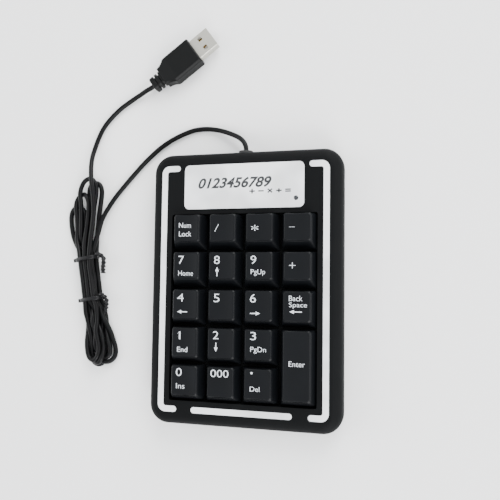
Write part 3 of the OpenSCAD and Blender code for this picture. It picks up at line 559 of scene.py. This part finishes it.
def key_cap(middle, half_x, half_y, front_taper):
    """Rings from the middle of the ceiling down the inner walls, round the skirt, up the tapered sides, over a
    quarter-round edge of radius edge_r and in to the middle of the top, whose height is key_top - dish +
    dish (x / dish_half)^2."""
    rows, heights = [], []

    def at(t, inset):
        """Half sizes, corner radius and shift of the cap's outline at height t of its sides, less inset."""
        return (half_x - inset - side_taper * t, half_y - inset - (front_taper + rear_taper) / 2 * t,
                skirt_r + (top_r - skirt_r) * t, (front_taper - rear_taper) / 2 * t)

    def put(outline, height):
        """Adds a ring of the cap, at one height for all its points or one for each."""
        rows.append(ring(*outline))
        heights.append(np.broadcast_to(height, ring_points))

    tall = key_top - skirt_z
    inner_t = (ceiling_z - skirt_z) / tall
    for share in (0.1, 0.5, 0.9, 1.0):
        hx, hy, r, shift = at(inner_t, key_wall)
        put((hx * share, hy * share, r * share, shift), ceiling_z)
    for t in (inner_t * 0.9, inner_t * 0.5, 0):
        put(at(t, key_wall), skirt_z + tall * t)
    put(at(0, 0.15), skirt_z)
    put(at(0.02, 0), skirt_z + 0.15)
    for t in (0.15, 0.3, 0.45, 0.6, 0.75, 1 - edge_r / tall):
        put(at(t, 0), skirt_z + tall * t)
    rim = at(1, 0)
    for angle in np.radians([20, 40, 60, 80]):
        inset = edge_r * (1 - math.cos(angle))
        outline = (rim[0] - inset, rim[1] - inset, rim[2], rim[3])
        x = ring(*outline)[:, 0]
        put(outline, key_top - dish + dish * (x / dish_half) ** 2 - edge_r * (1 - math.sin(angle)))
    for share in (1, 0.94, 0.8, 0.62, 0.44, 0.26, 0.1):
        hx, hy = (rim[0] - edge_r) * share, (rim[1] - edge_r) * share
        x = ring(hx, hy, rim[2] * share, rim[3])[:, 0]
        put((hx, hy, rim[2] * share, rim[3]), key_top - dish + dish * (x / dish_half) ** 2)
    grid = np.concatenate([np.array(rows) + middle[:2], np.array(heights)[:, :, None]], 2)
    return closed_grid(grid * mm)


def oblong(low, high, taper=0.0):
    """A closed box from low to high whose upper end is taper narrower on each side."""
    x0, y0, z0 = low
    x1, y1, z1 = high
    feet = [(x0, y0, z0), (x1, y0, z0), (x1, y1, z0), (x0, y1, z0)]
    tops = [(x0 + taper, y0 + taper, z1), (x1 - taper, y0 + taper, z1), (x1 - taper, y1 - taper, z1),
            (x0 + taper, y1 - taper, z1)]
    faces = [(3, 2, 1, 0), (4, 5, 6, 7), (0, 1, 5, 4), (1, 2, 6, 5), (2, 3, 7, 6), (3, 0, 4, 7)]
    return np.array(feet + tops) * mm, faces


def dish_over(middle):
    """Height of a key's hollow top at x, for print on it."""
    return lambda x, y: key_top - dish + dish * ((x - middle[0]) / dish_half) ** 2


def arrow(middle, tail, tip):
    """A straight arrow printed from tail to tip, both measured from the key's middle: a bar and a head."""
    bar_half, head_half, head_l = 0.24, 0.95, 2.2
    tail, tip = np.array(tail, float), np.array(tip, float)
    way = (tip - tail) / np.linalg.norm(tip - tail)
    side = np.array([-way[1], way[0]])
    neck = tip - head_l * way
    shapes = [[tail + bar_half * side, tail - bar_half * side, neck - bar_half * side, neck + bar_half * side],
              [neck + head_half * side, neck - head_half * side, tip]]
    made = []
    for shape in shapes:
        flat = np.array(shape) + middle[:2]
        height = dish_over(middle)(flat[:, 0], flat[:, 1])
        count = len(flat)
        points = np.vstack([np.c_[flat, height - print_thick], np.c_[flat, height + print_thick]]) * mm
        faces = [list(range(count))[::-1], list(range(count, 2 * count))]
        faces += [[i, (i + 1) % count, count + (i + 1) % count, count + i] for i in range(count)]
        made.append((points, faces))
    return made


def wire_clips(middle):
    """Two clips under the long key, each a block with a slot for the levelling wire's hook: its top, two
    cheeks and a lip below, placed from the wire's own box."""
    wire_low, wire_high = (np.array(corner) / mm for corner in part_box("enter_stabiliser"))
    wire_r, slot_half, slot_high, lip, half_thick = 0.6, 0.8, 1.4, 0.8, 0.7
    clip_reach, swing_half = 11.3, 0.08
    x, z = wire_low[0] + wire_r - swing_half, wire_high[2] - wire_r
    blocks = [(-slot_half - lip, slot_half + lip, z + slot_high / 2, ceiling_z + key_wall / 2),
              (-slot_half - lip, slot_half + lip, z - slot_high / 2 - lip, z - slot_high / 2),
              (-slot_half - lip, -slot_half, z - slot_high, z + slot_high),
              (slot_half, slot_half + lip, z - slot_high, z + slot_high)]
    return [oblong([x + x0, y - half_thick, z0], [x + x1, y + half_thick, z1])
            for y in (middle[1] - clip_reach, middle[1] + clip_reach) for x0, x1, z0, z1 in blocks]


# Signs of each key: words as (text, left, baseline, width, height of its top), arrows as (tail, tip), all from
# the key's middle
sign_weight, bar_weight = -0.004, -0.02
key_signs = {
    "num_lock": [("Num", -4.2, 2.1, 6.4, 2.6), ("Lock", -4.1, -2.3, 6.6, 2.6)],
    "divide": [("/", -4.2, 0, 2.3, 3.7)],
    "multiply": [("*", -4.1, -1.8, 3.6, 4.9)],
    "minus": [("−", -4.1, 1.2, 2.8, 0.7)],
    "7": [("7", -4.1, 2.8, 2.8, 4), ("Home", -4.1, -3.2, 7.9, 2.5)],
    "8": [("8", -4.1, 2.8, 2.9, 4), ((-2.5, -3.4), (-2.5, 1.3))],
    "9": [("9", -4.2, 2.9, 2.8, 4), ("PgUp", -4, -2.2, 7.2, 2.4)],
    "plus": [("+", -3.9, -0.2, 3.2, 3.8)],
    "4": [("4", -4.4, 2.8, 3.4, 3.9), ((1, -2.4), (-4.3, -2.4))],
    "5": [("5", -4, 2.8, 3, 4.1)],
    "6": [("6", -4.2, 3, 2.9, 4.1), ((-4.1, -2.4), (0.9, -2.4))],
    "backspace": [("Back", -3.85, 4, 6.6, 2.6), ("Space", -3.8, 1.1, 8.8, 2.2), ((2.5, -1.2), (-3.6, -1.2))],
    "1": [("1", -3.1, 2.8, 0.75, 3.9), ("/", -4, 5.5, 1.3, 1.2), ("End", -3.9, -3.5, 5.4, 2.5)],
    "2": [("2", -4.1, 3.5, 2.9, 3.9), ((-2.5, 1.7), (-2.5, -2.8))],
    "3": [("3", -3.9, 3.7, 2.9, 3.9), ("PgDn", -3.8, -2, 7.9, 2.4)],
    "enter": [("Enter", -3.7, 1.2, 7.9, 2.5)],
    "0": [("0", -4.3, 3.5, 3, 3.9), ("Ins", -4.1, -2.7, 4.4, 2.6)],
    "000": [("000", -5, 3.9, 9.3, 3.6)],
    "decimal": [(".", -3.6, 6.2, 1.1, 1.1), ("Del", -3.8, -2.1, 4.8, 2.3)],
}
for name, signs in key_signs.items():
    low, high = (np.array(corner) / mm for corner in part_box("key_" + name))
    middle, half = (low + high) / 2, (high - low) / 2
    front_taper = front_tapers["rear_rows" if middle[1] > 0 else "front_rows"]
    surfaces = [key_cap(middle, half[0], half[1], front_taper)]
    stem_low = [middle[0] - stem_w / 2, middle[1] - stem_w / 2, low[2]]
    stem_high = [middle[0] + stem_w / 2, middle[1] + stem_w / 2, ceiling_z + key_wall / 2]
    surfaces.append(oblong(stem_low, stem_high))
    barb_top = ceiling_z - barb_drop
    for end in (-1, 1):
        y = sorted((middle[1] + end * (stem_w / 2 - 0.1), middle[1] + end * (stem_w / 2 + barb_out)))
        surfaces.append(oblong([middle[0] - barb_w / 2, y[0], barb_top - barb_h],
                               [middle[0] + barb_w / 2, y[1], barb_top]))
    if name == "enter":
        surfaces += wire_clips(middle)
    cap = make_piece("cap_" + name, surfaces, key_abs, name + "_key")
    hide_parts("key_" + name)
    print_parts = []
    for sign in signs:
        if isinstance(sign[0], str):
            text, left, base, width, height = sign
            weight = bar_weight if text in "+/" else sign_weight
            print_parts.append(printed(text, middle[0] + left, middle[1] + base, width, height,
                                       dish_over(middle), weight=weight))
        else:
            print_parts += arrow(middle, *sign)
    make_piece("sign_" + name, print_parts, ink_white, name + "_key")


# --- Enter key's levelling wire: 1.2 mm spring steel, bent to a U; it turns in two posts of the upper half
finish_node("enter_stabiliser", metal("drawn_spring_steel", "#b9bcc0", 0.3, 0.2, 8, 0.003))


# --- Switch sheets: a moulded silicone sheet with a dome under each key, over three polyester films whose
# printed tracks meet when a dome's nub presses them
finish_node("rubber_domes", moulded("silicone_domes", "#c9cbc6", "#d6d8d3", 0.5, 0.6, 0.01,
                                    {"Subsurface Weight": 0.1}))
film = moulded("polyester_film", "#b4c2bd", "#c2cfca", 0.25, 3, 0.002, {"IOR": 1.57})
for name in ("membrane_upper", "membrane_spacer", "membrane_lower"):
    finish_node(name, film)


# --- Circuit board: green glass-fibre laminate with a moulded chip, a steel-cased crystal, a nylon wire header
# and its screws; four cores of the lead are crimped into the header
finish_node("circuit_board", moulded("glass_fibre_laminate", "#1f5a30", "#296b3a", 0.35, 0.3, 0.004))
finish_node("controller_chip", moulded("chip_epoxy", "#1a1b1d", "#232426", 0.55, 0.2, 0.006))
finish_node("crystal", metal("tinned_steel_can", "#c2c4c6", 0.28, 0.3, 4, 0.003))
finish_node("wire_header", moulded("nylon_header", "#ddd9cb", "#e8e4d8", 0.45, 0.5, 0.006))
finish_node("board_screws", metal("zinc_board_screws", "#a4a7aa", 0.38, 0.2, 4, 0.003))
finish_node("core_wires", moulded("wire_insulation", "#8f2f26", "#a5382d", 0.4, 0.5, 0.004))


# --- Table and lights: a matt white board in a white room, with four large soft boxes that stand low around it,
# where the keys' tops do not mirror them towards the camera, so that black stays deep and the board bright
floor_mesh = bpy.data.meshes.new("floor")
span = 6.0
corners = [(-span, -span, 0), (span, -span, 0), (span, span, 0), (-span, span, 0)]
floor_mesh.from_pydata(corners, [], [(0, 1, 2, 3)])
floor = bpy.data.objects.new("floor", floor_mesh)
bpy.context.scene.collection.objects.link(floor)
floor_mesh.materials.append(moulded("matt_white_board", "#f2f2f2", "#f4f4f4", 0.9, 2, 0.002))
world = bpy.data.worlds.new("studio")
bpy.context.scene.world = world
world.use_nodes = True
sky = world.node_tree.nodes["Background"].inputs
sky["Color"].default_value = (0.96, 0.98, 1, 1)
sky["Strength"].default_value = 1.2
light_size, light_far, light_high = 0.9, 1.25, 0.75
# Soft boxes: name, bearing in degrees from +X, and power in watts
soft_boxes = [("right", 5, 13), ("right_rear", 70, 32), ("right_front", -66, 32), ("left", 175, 15)]
for name, azimuth, watts in soft_boxes:
    data = bpy.data.lights.new(name, "AREA")
    data.size = light_size
    data.energy = watts
    lamp = bpy.data.objects.new(name, data)
    turn = math.radians(azimuth)
    lamp.location = (light_far * math.cos(turn), light_far * math.sin(turn), light_high)
    lamp.rotation_euler = lamp.location.to_track_quat("Z", "Y").to_euler()
    bpy.context.scene.collection.objects.link(lamp)
